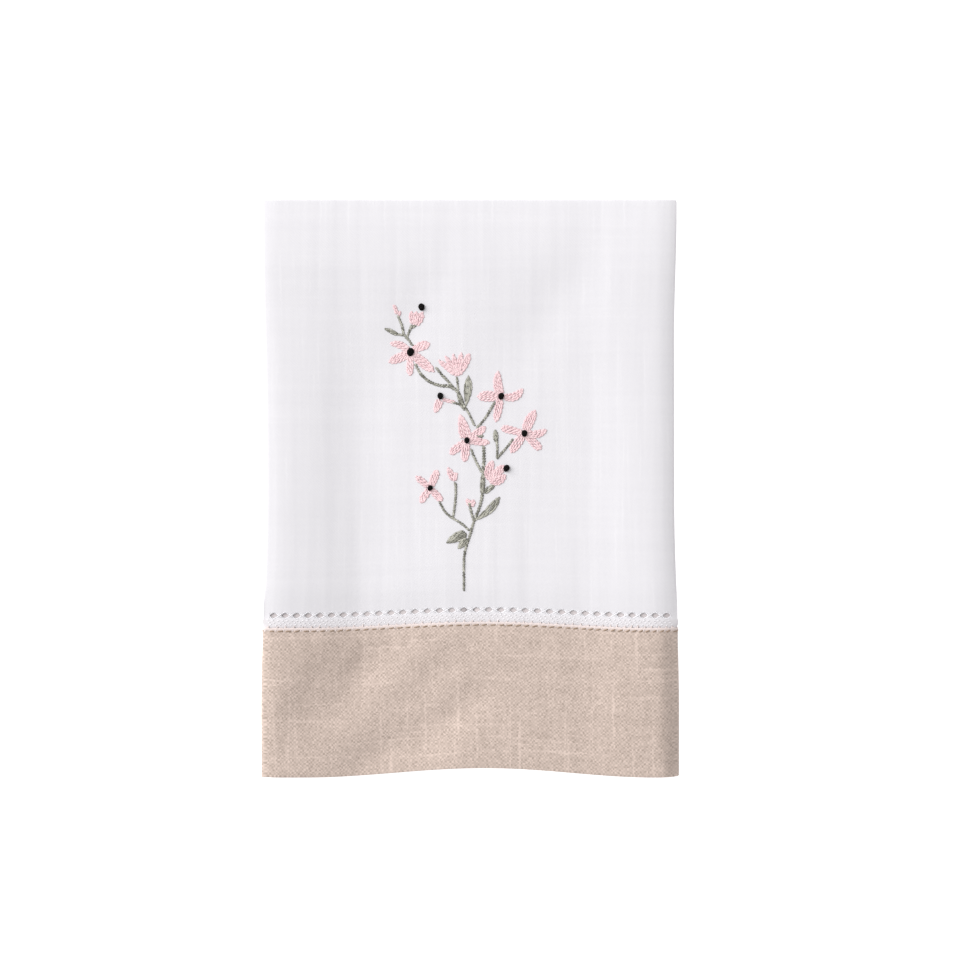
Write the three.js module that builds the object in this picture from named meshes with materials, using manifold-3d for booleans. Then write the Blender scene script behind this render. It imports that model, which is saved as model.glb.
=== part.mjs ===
// A linen hand towel, folded for display and lying face up.
// Millimetres. +X is to the right of the towel's face, +Y towards its top fold, +Z up, out of the face.
// The origin is the middle of the folded towel's footprint, on the surface that it lies on.
//
// The white cloth is one sheet. Its two long sides are turned behind the face, so that they nearly meet
// at the middle of the back, and the doubled cloth is then folded over once at the top edge. A doubled
// band of natural linen is joined to its lower edge. A sprig of blossom is embroidered on the face.
import * as THREE from "three";
import { mergeVertices } from "three/addons/utils/BufferGeometryUtils.js";
import Module from "manifold-3d";

// Driving dimensions
const faceWidth = 176.4; // of the folded towel at its waist
const faceHeight = 250;
const clothWidth = 350; // of the cloth laid open
const ply = 1; // thickness of one layer of cloth
const air = 0.4; // between layers that lie on each other
const seamGap = 0.3; // between two pieces that are sewn together
const bandHeight = 64.9;
const hemHeight = 5.3; // the white hem strip, from the band up to the drawn-thread row
const drawnRow = 1.3; // half of the row's height, where threads are drawn out and the cloth is thinner
const backShortfall = 3.5; // the hidden end stops this far above the lower edge

// Places that follow from them
const topEdge = faceHeight / 2;
const bottomEdge = -faceHeight / 2;
const seamY = bottomEdge + bandHeight;
const drawnRowY = seamY + hemHeight;
const bandOffset = (ply + seamGap) / 2; // from the middle of the doubled band to the middle of one layer
const bandHalf = bandOffset + ply / 2; // half of the doubled band's thickness
const layerPitch = ply + air;
const topFoldRadius = 1.5 * layerPitch; // of the outermost of the four layers
const topFoldY = topEdge - topFoldRadius - ply / 2;
const lowestLayer = ply / 2;
const faceAtTop = lowestLayer + 3 * layerPitch;
const bandReturn = lowestLayer + layerPitch + ply / 2 + air + bandHalf;
const sidePitchAtBand = 2 * bandHalf + air;
const faceAtBand = bandReturn + sidePitchAtBand;
const wedgeTop = 60; // the stack thins from the seam up to this Y
const endY = bottomEdge + backShortfall;

const clamp01 = (t) => Math.min(1, Math.max(0, t));
const mix = (a, b, t) => a + (b - a) * t;
// 0 at from, 1 at to, and level at both
function ease(from, to, value) {
  const t = clamp01((value - from) / (to - from));
  return t * t * (3 - 2 * t);
}
// A bump of height 1 at middle, gone at middle - reach and middle + reach
function bump(middle, reach, value) {
  const away = Math.min(1, Math.abs(value - middle) / reach);
  return (1 + Math.cos(Math.PI * away)) / 2;
}

// How thick the stack is along the towel: the height of the face's middle layer, and how far the turned
// sides lie behind it. Both fall from the thick band towards the top fold.
const faceLevel = (y) => mix(faceAtBand, faceAtTop, ease(seamY, wedgeTop, y));
const sidePitch = (y) => mix(sidePitchAtBand, layerPitch, ease(seamY, wedgeTop, y));

// How the folded towel has settled. Its sides flare towards both ends, as a share of the width and from one
// Y to another, and the middle of its lower edge is drawn up.
const flare = {
  foot: { share: 0.024, from: -5, to: -95 },
  headLeft: { share: 0.022, from: 10, to: topEdge },
  headRight: { share: 0.014, from: 65, to: topEdge },
};
const drawnUp = { height: 4.3, middle: 6, reach: 72, from: 70, to: -160 };
// Broad swells of the face: it is puffed up along both sides and hollow beside the left one
const swells = [
  { x: -84, y: -15, reachX: 46, reachY: 170, height: 2.4 },
  { x: 72, y: 0, reachX: 30, reachY: 190, height: 1.6 },
  { x: -40, y: -70, reachX: 36, reachY: 170, height: -1 },
  { x: 62, y: -80, reachX: 34, reachY: 40, height: 0.5 },
];
// The face's fall at each side fold, the more that the band falls at the right, and the fall to the top fold
const shoulder = { width: 10, left: 1, right: 2, band: 1.9 };
const topRoll = { width: 34, fall: 1.9 };

function relief(x, y) {
  const side = clamp01((Math.abs(x) - faceWidth / 2 + shoulder.width) / shoulder.width);
  const head = clamp01((y - topEdge + topRoll.width) / topRoll.width);
  let raised = 0;
  for (const swell of swells) {
    raised += swell.height * bump(swell.x, swell.reachX, x) * bump(swell.y, swell.reachY, y);
  }
  const bandFall = shoulder.band * ease(drawnRowY, bottomEdge + bandHeight / 2, y);
  const fall = x < 0 ? shoulder.left : shoulder.right + bandFall;
  return raised - fall * side * side - topRoll.fall * head * head;
}

function rise(x, y) {
  return drawnUp.height * bump(drawnUp.middle, drawnUp.reach, x) * ease(drawnUp.from, drawnUp.to, y);
}

const flared = ({ share, from, to }, y) => share * ease(from, to, y);

function settle(x, y, z) {
  const widening = 1 + flared(flare.foot, y) + flared(x < 0 ? flare.headLeft : flare.headRight, y);
  const stack = faceLevel(y) + ply / 2;
  return new THREE.Vector3(x * widening, y + rise(x, y), z * (1 + relief(x, y) / stack));
}

// Where a point of the doubled cloth lies across the towel. part and share are a place along the cloth's
// width: part 0 and 4 are the sides turned behind, 1 and 3 the side folds, and 2 the face. out is the
// distance outwards from the cloth's middle surface. depth counts inwards from the face.
function across({ part, share }, y, out) {
  const radius = sidePitch(y) / 2;
  const foldX = faceWidth / 2 - mix(bandHalf, ply / 2, ease(seamY, wedgeTop, y)) - radius;
  const turned = clothWidth / 2 - foldX - Math.PI * radius;
  if (part === 2) return { x: mix(-foldX, foldX, share), depth: -out };
  const side = part < 2 ? -1 : 1;
  const fromFace = part < 2 ? 1 - share : share;
  if (part === 0 || part === 4) return { x: side * (foldX - turned * fromFace), depth: 2 * radius + out };
  const angle = Math.PI * fromFace;
  const reach = radius + out;
  return { x: side * (foldX + reach * Math.sin(angle)), depth: radius - reach * Math.cos(angle) };
}

// Where it then lies along the towel: on the face (turn 0), round the top fold, or behind (turn 1)
function along({ turn, y }, depth) {
  if (turn === 0) return { y, z: faceLevel(y) - depth };
  if (turn === 1) return { y, z: lowestLayer + depth };
  const angle = Math.PI * turn;
  const radius = topFoldRadius - depth;
  const middle = lowestLayer + topFoldRadius;
  return { y: topFoldY + radius * Math.sin(angle), z: middle + radius * Math.cos(angle) };
}

const steps = (count) => Array.from({ length: count + 1 }, (_, i) => i / count);
const crowded = (t) => 0.5 - 0.5 * Math.cos(Math.PI * t); // closer together near 0 and 1
const joined = (...runs) => runs.flatMap((run, i) => (i ? run.slice(1) : run));

// How many straight steps each stretch of cloth is given
const stepsOf = {
  turnedSide: 3,
  sideFold: 4,
  face: 22,
  faceLength: 15,
  topFold: 6,
  back: 6,
  band: 5,
  lowerFold: 4,
};

const widthStations = joined(
  steps(stepsOf.turnedSide).map((share) => ({ part: 0, share })),
  steps(stepsOf.sideFold).map((share) => ({ part: 1, share })),
  steps(stepsOf.face).map((t) => ({ part: 2, share: crowded(t) })),
  steps(stepsOf.sideFold).map((share) => ({ part: 3, share })),
  steps(stepsOf.turnedSide).map((share) => ({ part: 4, share })),
);

// A sheet is cut flat, as a thin box with one row of vertices for each station, and then laid in its
// folds by place(widthStation, lengthStation, out).
function foldedSheet(lengthStations, place) {
  const columns = widthStations.length - 1;
  const rows = lengthStations.length - 1;
  const sheet = new THREE.BoxGeometry(columns, rows, ply, columns, rows, 1);
  const position = sheet.getAttribute("position");
  for (let i = 0; i < position.count; i++) {
    const column = Math.round(position.getX(i) + columns / 2);
    const row = Math.round(position.getY(i) + rows / 2);
    const at = place(widthStations[column], lengthStations[row], position.getZ(i));
    position.setXYZ(i, at.x, at.y, at.z);
  }
  sheet.computeVertexNormals();
  return sheet;
}

// White body: up the face from the seam, over the top fold and down behind. Its hem strip is folded
// double, so a little thicker, and ends at the drawn-thread row.
const hemSwell = 0.25;
const drawnShare = 0.45; // of the thickness that the drawn threads took up
function bodyThickness(y) {
  const hem = hemSwell * ease(drawnRowY, drawnRowY - drawnRow, y);
  return 1 + hem - drawnShare * bump(drawnRowY, drawnRow, y);
}

function whiteBody() {
  const stations = joined(
    [seamY + seamGap, drawnRowY - drawnRow].map((y) => ({ turn: 0, y })),
    [drawnRowY - drawnRow, drawnRowY, drawnRowY + drawnRow].map((y) => ({ turn: 0, y })),
    steps(stepsOf.faceLength).map((t) => ({ turn: 0, y: mix(drawnRowY + drawnRow, topFoldY, t) })),
    steps(stepsOf.topFold).map((turn) => ({ turn, y: topFoldY })),
    steps(stepsOf.back).map((t) => ({ turn: 1, y: mix(topFoldY, endY, t) })),
  );
  return foldedSheet(stations, (width, length, cut) => {
    const out = length.turn ? cut : cut * bodyThickness(length.y);
    const { x, depth } = across(width, length.turn === 1 ? topFoldY : length.y, out);
    const { y, z } = along(length, depth);
    return settle(x, y, z);
  });
}

// Border band: down its inner layer from the seam, round the fold at the lower edge and up the face
function borderBand() {
  const foldY = bottomEdge + bandHalf;
  const stations = joined(
    steps(stepsOf.band).map((t) => ({ y: mix(seamY, foldY, t), turn: 0 })),
    steps(stepsOf.lowerFold).map((turn) => ({ y: foldY, turn })),
    steps(stepsOf.band).map((t) => ({ y: mix(foldY, seamY, t), turn: 1 })),
  );
  return foldedSheet(stations, (width, length, out) => {
    const angle = Math.PI * length.turn;
    const reach = bandOffset + out;
    const bandY = length.y - reach * Math.sin(angle);
    const { x, depth } = across(width, bandY, -reach * Math.cos(angle));
    const { y, z } = along({ turn: 0, y: bandY }, depth);
    return settle(x, y, z);
  });
}

// Embroidery. It is drawn as it lies on the face, in millimetres from the foot of the main stem.
const sprigFoot = { x: -3, y: -44.2 };
const threadRelief = 0.6; // how far worked thread stands out of the cloth
const stemWidth = 1.6;
const stemEdge = 0.6; // height of a stem's edge, as a share of its ridge
const stemStep = 3; // length of one straight run of a stem
const heartShare = 0.3; // radius of a blossom's heart, as a share of its widest petal
const knotWidth = 3.2;
const knotHeight = 1.4;
const roundSides = 10; // of a heart or knot
const lobeRows = 6; // steps round one side of a petal or leaf
const lobeFullness = 0.8; // under 1 is fuller than a sine's outline
const weldDistance = 1e-4; // vertices nearer than this are one
// Half a knot's outline, from its foot to its crown, as shares of its width and height
const knotOutline = [[0, 0], [0.4, 0], [0.5, 0.35], [0.4, 0.8], [0, 1]];
const turnOf = (degrees) => (degrees * Math.PI) / 180;

// Stems: each is a smooth curve through a few points, from where it leaves the plant to its end
const stems = {
  stem_main: [
    [
      [0.1, -0.2], [0.2, 5], [0.1, 10.2], [0.7, 17.6], [2.1, 21.9], [3.2, 25.8], [4.7, 30.6],
      [6.6, 35.3], [7.9, 40.3], [8.4, 45.3], [8.4, 51.3], [9, 56.5], [9.3, 60.6],
    ],
    [[2.6, 25.9], [-1.5, 29.5], [-4.8, 31.4], [-8.1, 34.2], [-9.7, 36.8]],
    [[-4.6, 31.3], [-3.9, 36.2], [-3.4, 41.4], [-3.5, 45.8]],
    [[4.3, 30.1], [3.5, 33.4], [3, 35.1]],
    [[8.3, 50.5], [6, 54.6], [4.5, 57.8], [3.9, 59.6]],
  ],
  stem_upper: [
    [
      [4.3, 72.6], [2.6, 76], [0.7, 79.3], [-0.7, 81.5], [-2.4, 85.6], [-3.9, 87.3], [-6.7, 90.6],
      [-10.2, 94.4], [-11.3, 95.8],
    ],
    [
      [-3.7, 87.1], [-6.1, 88.4], [-9.8, 88.7], [-13.7, 89.9], [-17.1, 92.3], [-19.4, 95.2],
      [-20.1, 96.7],
    ],
    [[-1, 82.3], [-2.2, 86], [-2.6, 89.5], [-2.8, 91.4]],
    [[0.7, 79.3], [-1.3, 80.5], [-3.5, 81.1]],
  ],
  stem_right: [
    [[14.3, 57], [14.6, 60.4], [14.3, 64.8], [14.1, 68.2], [14, 70.4]],
    [[14.3, 57.2], [16.9, 60], [18.8, 62.2]],
  ],
  stem_blossom: [
    [[7.1, 71.9], [9.7, 75.2], [12.4, 79.7]],
  ],
  stem_tip: [
    [[-22.2, 107], [-23.4, 108.4], [-25.4, 110.5], [-26.2, 114.2], [-27.3, 117.6]],
    [[-25.4, 110.5], [-28.4, 111], [-31.2, 112.2], [-33, 113.1]],
    [[-24.3, 109.4], [-23.4, 111.8], [-22.6, 113.9]],
  ],
};

// Leaves: from the stalk to the tip, with their width, how far they bow to the left of that line, and the
// share of their length at which they are broadest
const leaves = [
  { name: "leaf_foot_low", from: [1.1, 24.1], to: [-7.6, 20.6], width: 2.8, bow: -0.4, broad: 0.5 },
  { name: "leaf_foot_near", from: [0.3, 20.3], to: [-2.6, 18.2], width: 2.1, bow: 0, broad: 0.5 },
  { name: "leaf_foot_right", from: [6.3, 31.6], to: [15.5, 39.8], width: 3.1, bow: -0.9, broad: 0.45 },
  { name: "leaf_bud_right", from: [9.7, 43.3], to: [12.6, 45.2], width: 2, bow: 0, broad: 0.5 },
  { name: "leaf_middle", from: [7, 66.4], to: [9.5, 67.4], width: 1, bow: 0, broad: 0.6 },
  { name: "leaf_upper", from: [1.4, 82.3], to: [2, 92.7], width: 3.5, bow: -0.5, broad: 0.55 },
];

// Open blossoms and buds. A petal's direction is in degrees, 0 to the right and 90 up the towel, and its
// other columns are as for the leaves.
const blossoms = [
  {
    name: "blossom_low",
    at: [-14.5, 44.4],
    petals: [
      { turn: 67, reach: 8.7, width: 3.6, bow: 0, broad: 0.6 },
      { turn: -46, reach: 7.5, width: 3.2, bow: 0, broad: 0.6 },
      { turn: -124, reach: 7.8, width: 3.4, bow: 0, broad: 0.6 },
      { turn: 140, reach: 8.1, width: 3, bow: 0, broad: 0.65 },
    ],
  },
  {
    name: "blossom_middle",
    at: [1.4, 65],
    petals: [
      { turn: 104, reach: 11.8, width: 4.2, bow: 0, broad: 0.4 },
      { turn: 35, reach: 10.2, width: 3.3, bow: 0, broad: 0.6 },
      { turn: -6, reach: 10.2, width: 2.9, bow: 0, broad: 0.55 },
      { turn: -97, reach: 9.6, width: 3.6, bow: 0, broad: 0.65 },
      { turn: -142, reach: 9.9, width: 3.6, bow: 0, broad: 0.65 },
    ],
  },
  {
    name: "blossom_right",
    at: [26.3, 68],
    petals: [
      { turn: 64, reach: 11.3, width: 4.5, bow: 0.4, broad: 0.55 },
      { turn: 10, reach: 10.2, width: 3.2, bow: -0.6, broad: 0.45 },
      { turn: -44, reach: 10.4, width: 3.5, bow: 0, broad: 0.7 },
      { turn: -126, reach: 10.5, width: 3.6, bow: 0, broad: 0.6 },
      { turn: 166, reach: 10.6, width: 3.3, bow: 0, broad: 0.7 },
    ],
  },
  {
    name: "blossom_high",
    at: [16.2, 84.1],
    petals: [
      { turn: 96, reach: 11.1, width: 3.9, bow: 0.9, broad: 0.45 },
      { turn: 20, reach: 10.3, width: 3.7, bow: -1.2, broad: 0.5 },
      { turn: -102, reach: 11.7, width: 3.4, bow: 0, broad: 0.55 },
      { turn: -180, reach: 10.4, width: 4.1, bow: 0, broad: 0.65 },
    ],
  },
  {
    name: "blossom_top",
    at: [-22.8, 103.2],
    petals: [
      { turn: 156, reach: 9.8, width: 3, bow: -0.8, broad: 0.5 },
      { turn: 23, reach: 9.2, width: 3.6, bow: 0.6, broad: 0.7 },
      { turn: -40, reach: 13.3, width: 3.6, bow: 0, broad: 0.6 },
      { turn: -92, reach: 10.5, width: 3.2, bow: 0, broad: 0.7 },
      { turn: -156, reach: 10.4, width: 3.8, bow: 0.3, broad: 0.55 },
    ],
  },
];
const buds = [
  {
    name: "bud_low",
    at: [-4, 47.2],
    petals: [
      { turn: 114, reach: 6.7, width: 2.9, bow: 0, broad: 0.5 },
      { turn: 77, reach: 4.3, width: 1.9, bow: 0, broad: 0.6 },
    ],
  },
  {
    name: "bud_stem",
    at: [3.1, 36.4],
    petals: [
      { turn: 115, reach: 3.3, width: 1.6, bow: 0, broad: 0.5 },
      { turn: 50, reach: 2.8, width: 1.7, bow: 0, broad: 0.5 },
    ],
  },
  {
    name: "bud_right",
    at: [10.6, 47.3],
    petals: [
      { turn: 69, reach: 9, width: 3.5, bow: 0.6, broad: 0.5 },
      { turn: 42, reach: 8.7, width: 3.5, bow: 0, broad: 0.6 },
      { turn: 18, reach: 8.2, width: 3.7, bow: -1.5, broad: 0.5 },
    ],
  },
  {
    name: "bud_fan",
    at: [-2.8, 92.7],
    petals: [
      { turn: 136, reach: 10.9, width: 1.3, bow: 0, broad: 0.7 },
      { turn: 118, reach: 10.3, width: 1.3, bow: 0, broad: 0.7 },
      { turn: 98, reach: 9.9, width: 1.3, bow: 0, broad: 0.7 },
      { turn: 71, reach: 11.3, width: 2.4, bow: 0, broad: 0.7 },
      { turn: 53, reach: 10.4, width: 1.7, bow: 0, broad: 0.6 },
    ],
  },
  {
    name: "bud_left",
    at: [-9.9, 83],
    petals: [
      { turn: -117, reach: 5.9, width: 2.8, bow: 0, broad: 0.65 },
      { turn: -14, reach: 5.4, width: 1.5, bow: 0, broad: 0.4 },
    ],
  },
  {
    name: "bud_tip",
    at: [-21, 114.6],
    petals: [
      { turn: 100, reach: 6.4, width: 2.6, bow: 0.6, broad: 0.5 },
      { turn: 59, reach: 6.9, width: 2.9, bow: -0.9, broad: 0.5 },
    ],
  },
  {
    name: "bud_spike",
    at: [-28.1, 119.1],
    petals: [
      { turn: 108, reach: 5.3, width: 1.2, bow: 0, broad: 0.5 },
      { turn: 48, reach: 2.1, width: 1, bow: 0, broad: 0.5 },
    ],
  },
];
// Knots: on a blossom's heart, or at a place of their own, where lift says how many petals they stand on
const knots = [
  { name: "knot_low", on: "blossom_low" },
  { name: "knot_middle", on: "blossom_middle" },
  { name: "knot_right", on: "blossom_right" },
  { name: "knot_high", on: "blossom_high" },
  { name: "knot_top", on: "blossom_top" },
  { name: "knot_bud_right", at: [18.5, 52.9], lift: 1 },
  { name: "knot_bud_left", at: [-10, 84.2], lift: 1 },
  { name: "knot_bud_tip", at: [-17.9, 122.7], lift: 0 },
];

const wasm = await Module();
wasm.setup();

// A closed geometry as a solid that can be joined or cut
function solidOf(geometry) {
  const bare = geometry.index ? geometry.toNonIndexed() : geometry.clone();
  bare.deleteAttribute("normal");
  bare.deleteAttribute("uv");
  const merged = mergeVertices(bare, weldDistance);
  return new wasm.Manifold(
    new wasm.Mesh({
      numProp: 3,
      vertProperties: merged.getAttribute("position").array,
      triVerts: new Uint32Array(merged.index.array),
    }),
  );
}

function geometryOf(solid) {
  const mesh = solid.getMesh();
  const geometry = new THREE.BufferGeometry();
  geometry.setAttribute("position", new THREE.BufferAttribute(new Float32Array(mesh.vertProperties), 3));
  geometry.setIndex(new THREE.BufferAttribute(new Uint32Array(mesh.triVerts), 1));
  return geometry;
}

const fused = (geometries) => geometryOf(geometries.map(solidOf).reduce((sum, solid) => sum.add(solid)));

// Lays flat work on the face: its z counts from the cloth, and it sits seamGap off it
function laidOnFace(geometry) {
  const position = geometry.getAttribute("position");
  for (let i = 0; i < position.count; i++) {
    const x = sprigFoot.x + position.getX(i);
    const seenY = sprigFoot.y + position.getY(i);
    const y = seenY - rise(x, seenY);
    const at = settle(x, y, faceLevel(y) + ply / 2 + seamGap + position.getZ(i));
    position.setXYZ(i, at.x, at.y, at.z);
  }
  geometry.computeVertexNormals();
  return geometry;
}

// One stem: a low ribbon of thread with a ridge along its middle, bent along its curve
function stemGeometry(points) {
  const places = points.map(([x, y]) => new THREE.Vector3(x, y, 0));
  const curve = new THREE.CatmullRomCurve3(places, false, "centripetal");
  const lengths = Math.max(2, Math.round(curve.getLength() / stemStep));
  const ribbon = new THREE.BoxGeometry(1, stemWidth, 1, lengths, 2, 1).translate(0.5, 0, 0.5);
  const position = ribbon.getAttribute("position");
  for (let i = 0; i < position.count; i++) {
    const along = Math.round(position.getX(i) * lengths) / lengths;
    const sideways = position.getY(i);
    const middle = curve.getPointAt(along);
    const heading = curve.getTangentAt(along);
    const share = mix(1, stemEdge, Math.abs(sideways) / (stemWidth / 2));
    const height = position.getZ(i) * threadRelief * share;
    position.setXYZ(i, middle.x - heading.y * sideways, middle.y + heading.x * sideways, height);
  }
  return ribbon;
}

// One petal or leaf: two arcs that meet in a point at both ends, both bowed to one side. The power of t
// moves the broadest place to its own share of the length.
function lobeGeometry({ from, to, width, bow, broad }) {
  const start = new THREE.Vector2(...from);
  const axis = new THREE.Vector2(...to).sub(start);
  const sideways = new THREE.Vector2(-axis.y, axis.x).normalize();
  const shift = Math.log(0.5) / Math.log(broad);
  const edge = (t, side) => {
    const fullness = Math.sin(Math.PI * t ** shift) ** lobeFullness;
    const reach = fullness * (side * width * 0.5 + bow);
    return start.clone().addScaledVector(axis, t).addScaledVector(sideways, reach);
  };
  const left = steps(lobeRows).slice(0, -1).map((t) => edge(t, 1));
  const right = steps(lobeRows).slice(0, -1).map((t) => edge(1 - t, -1));
  const outline = new THREE.Shape([...left, ...right].reverse());
  return new THREE.ExtrudeGeometry(outline, { depth: threadRelief, bevelEnabled: false });
}

// A blossom or bud: its petals, each from the middle outwards, fused with a round heart
function blossomGeometry({ at, petals }) {
  const widest = Math.max(...petals.map((petal) => petal.width));
  const radius = widest * heartShare;
  const heart = new THREE.CylinderGeometry(radius, radius, threadRelief, roundSides)
    .rotateX(Math.PI / 2)
    .translate(at[0], at[1], threadRelief / 2);
  const lobes = petals.map((petal) => {
    const angle = turnOf(petal.turn);
    const to = [at[0] + petal.reach * Math.cos(angle), at[1] + petal.reach * Math.sin(angle)];
    return lobeGeometry({ from: at, to, ...petal });
  });
  return fused([heart, ...lobes]);
}

// A French knot: a flattened dome, standing on the petals or straight on the cloth
function knotGeometry({ at, on, lift = 1 }) {
  const [x, y] = on ? blossoms.find((blossom) => blossom.name === on).at : at;
  const outline = knotOutline.map(([r, h]) => new THREE.Vector2(r * knotWidth, h * knotHeight));
  return new THREE.LatheGeometry(outline, roundSides)
    .rotateX(Math.PI / 2)
    .translate(x, y, lift * (threadRelief + seamGap));
}

// Finishes
const cloth = (colour) => new THREE.MeshStandardMaterial({ color: colour, roughness: 0.92, metalness: 0 });
const whiteLinen = cloth(0xf3f1f4);
const naturalLinen = cloth(0xd4c0b1);
const sageThread = cloth(0x8f9481);
const pinkThread = cloth(0xf0c3c9);
const blackThread = cloth(0x14110f);

const towel = new THREE.Group();
function add(name, geometry, material) {
  const mesh = new THREE.Mesh(geometry, material);
  mesh.name = name;
  towel.add(mesh);
}

add("white_body", whiteBody(), whiteLinen);
add("border_band", borderBand(), naturalLinen);
for (const [name, branches] of Object.entries(stems)) {
  add(name, laidOnFace(fused(branches.map(stemGeometry))), sageThread);
}
for (const leaf of leaves) {
  add(leaf.name, laidOnFace(lobeGeometry(leaf)), sageThread);
}
for (const blossom of [...blossoms, ...buds]) {
  add(blossom.name, laidOnFace(blossomGeometry(blossom)), pinkThread);
}
for (const knot of knots) {
  add(knot.name, laidOnFace(knotGeometry(knot)), blackThread);
}

export default towel;
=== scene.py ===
"""A folded linen hand towel: white linen, a hemstitched border of natural linen and an embroidered sprig."""

import bpy
import numpy as np
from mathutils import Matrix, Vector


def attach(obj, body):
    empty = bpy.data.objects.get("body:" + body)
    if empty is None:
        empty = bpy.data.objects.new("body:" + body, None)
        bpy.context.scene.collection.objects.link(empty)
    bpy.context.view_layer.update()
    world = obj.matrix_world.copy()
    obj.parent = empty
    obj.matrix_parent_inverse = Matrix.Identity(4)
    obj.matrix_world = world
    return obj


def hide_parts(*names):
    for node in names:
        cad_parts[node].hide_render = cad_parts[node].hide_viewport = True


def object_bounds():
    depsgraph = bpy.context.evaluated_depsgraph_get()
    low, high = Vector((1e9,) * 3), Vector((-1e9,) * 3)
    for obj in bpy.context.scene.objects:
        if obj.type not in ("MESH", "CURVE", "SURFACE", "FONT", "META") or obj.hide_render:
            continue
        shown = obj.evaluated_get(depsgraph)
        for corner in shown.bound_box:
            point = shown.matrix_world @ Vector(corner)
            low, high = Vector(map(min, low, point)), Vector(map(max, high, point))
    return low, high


bl_info = {
    "name": "Folded Linen Hand Towel",
    "version": (1, 0, 0),
    "blender": (4, 5, 0),
    "location": "View3D > Sidebar > Towel",
    "description": "Linen, hemstitching and embroidery of a folded hand towel",
    "category": "Add Mesh",
}

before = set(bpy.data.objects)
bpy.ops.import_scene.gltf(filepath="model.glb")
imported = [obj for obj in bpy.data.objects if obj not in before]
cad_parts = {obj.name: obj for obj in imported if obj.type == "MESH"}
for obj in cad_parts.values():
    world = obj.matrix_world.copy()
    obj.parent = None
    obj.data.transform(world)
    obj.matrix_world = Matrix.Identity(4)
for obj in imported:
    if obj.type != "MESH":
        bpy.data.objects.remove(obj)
CAD_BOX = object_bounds()
MM = 0.001

# The fold, in millimetres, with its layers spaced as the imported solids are
FACE_HEIGHT = (CAD_BOX[1][1] - CAD_BOX[0][1]) / MM
FACE_WIDTH = 176.4
CLOTH_WIDTH = 353.5
SOLID_PLY = 1.0
AIR = 0.4
SEAM_GAP = 0.3
BAND_HEIGHT = 64.9
BAND_PLY = 0.55
HEM_HEIGHT = 5.3
BACK_SHORTFALL = 3.5
TOP_EDGE = FACE_HEIGHT / 2
BOTTOM_EDGE = -FACE_HEIGHT / 2
SEAM_Y = BOTTOM_EDGE + BAND_HEIGHT
DRAWN_ROW_Y = SEAM_Y + HEM_HEIGHT
WEDGE_TOP = 60.0  # up to here the pile thins from the band towards the top
BAND_OFFSET = (SOLID_PLY + SEAM_GAP) / 2
BAND_HALF = BAND_OFFSET + SOLID_PLY / 2
LAYER_PITCH = SOLID_PLY + AIR
LOWEST = SOLID_PLY / 2
FACE_AT_TOP = LOWEST + 3 * LAYER_PITCH
SIDE_PITCH_AT_BAND = 2 * BAND_HALF + AIR
FACE_AT_BAND = LOWEST + LAYER_PITCH + SOLID_PLY / 2 + AIR + BAND_HALF + SIDE_PITCH_AT_BAND
# How crisply the folds are pressed: 1 is a half circle
PRESSED = 0.5
TOP_PRESSED = 0.3
# The top fold and the band's lower fold: where each begins, its flat length and the cloth's hidden end
TOP_RADIUS = 1.5 * LAYER_PITCH
TOP_FOLD_Y = TOP_EDGE - TOP_RADIUS + 0.15  # 0.15 makes up for the thinner cloth
TOP_TURN = np.pi * TOP_RADIUS
WHITE_END = TOP_FOLD_Y + TOP_TURN + TOP_FOLD_Y - (BOTTOM_EDGE + BACK_SHORTFALL)
BAND_FOLD_Y = BOTTOM_EDGE + BAND_HALF
BAND_RUN = SEAM_Y - BAND_FOLD_Y
BAND_TURN = np.pi * BAND_OFFSET
BAND_END = BAND_RUN + BAND_TURN + BAND_RUN
# Along the drawn row the turned sides lie this far behind the face, fully up to one height above it and then
# less up to another
SNUG = {"depth": 0.42, "full": 4, "none": 16}
LET_IN = 0.6  # how much narrower the white cloth is where the band holds it
HALF_PLY = 0.25
SEAM_DROP = 1.4  # from the band's upper edge down to the line of its stitches
SEAM_PITCH = {"left": 3.6, "right": 2.9}  # from one of those stitches to the next
# How far the face falls to the side folds and the top fold, and over what width
SHOULDER = {
    "width": 10.0, "left": 0.65, "left_band": 1.6, "right": 1.65, "right_head": 1.1, "right_band": 6.6,
}
TOP_ROLL = {"width": 34.0, "fall": 2.7}
# How the middle of the towel is drawn up, and between which heights of the face
RISE = {"height": 4.3, "middle": 6.0, "reach": 72.0, "from": 70.0, "to": -160.0}
# How far each side flares out, as a share of the width, from one height of the face to another
FLARE = {
    "foot": (0.0265, -5.0, -95.0),
    "head_left": (0.022, 10.0, TOP_EDGE),
    "head_right": (0.014, 65.0, TOP_EDGE),
}
# The drawn-thread row: its first hole, how far it runs, and how much closer its holes are at the sides
HOLE_ROW = {"first": -83.64, "span": 167.1, "crowding": 0.035}

# Broad swells of the face, and the dip along its drawn row: x, y, reach across, reach along, height
SWELLS = [
    (-84, -15, 46, 170, 2.4), (75, 0, 30, 190, 1.6), (-40, -70, 36, 170, -1.0), (71, -84, 26, 44, 0.8),
    (0, -56, 500, 13, -0.8),
]
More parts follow.
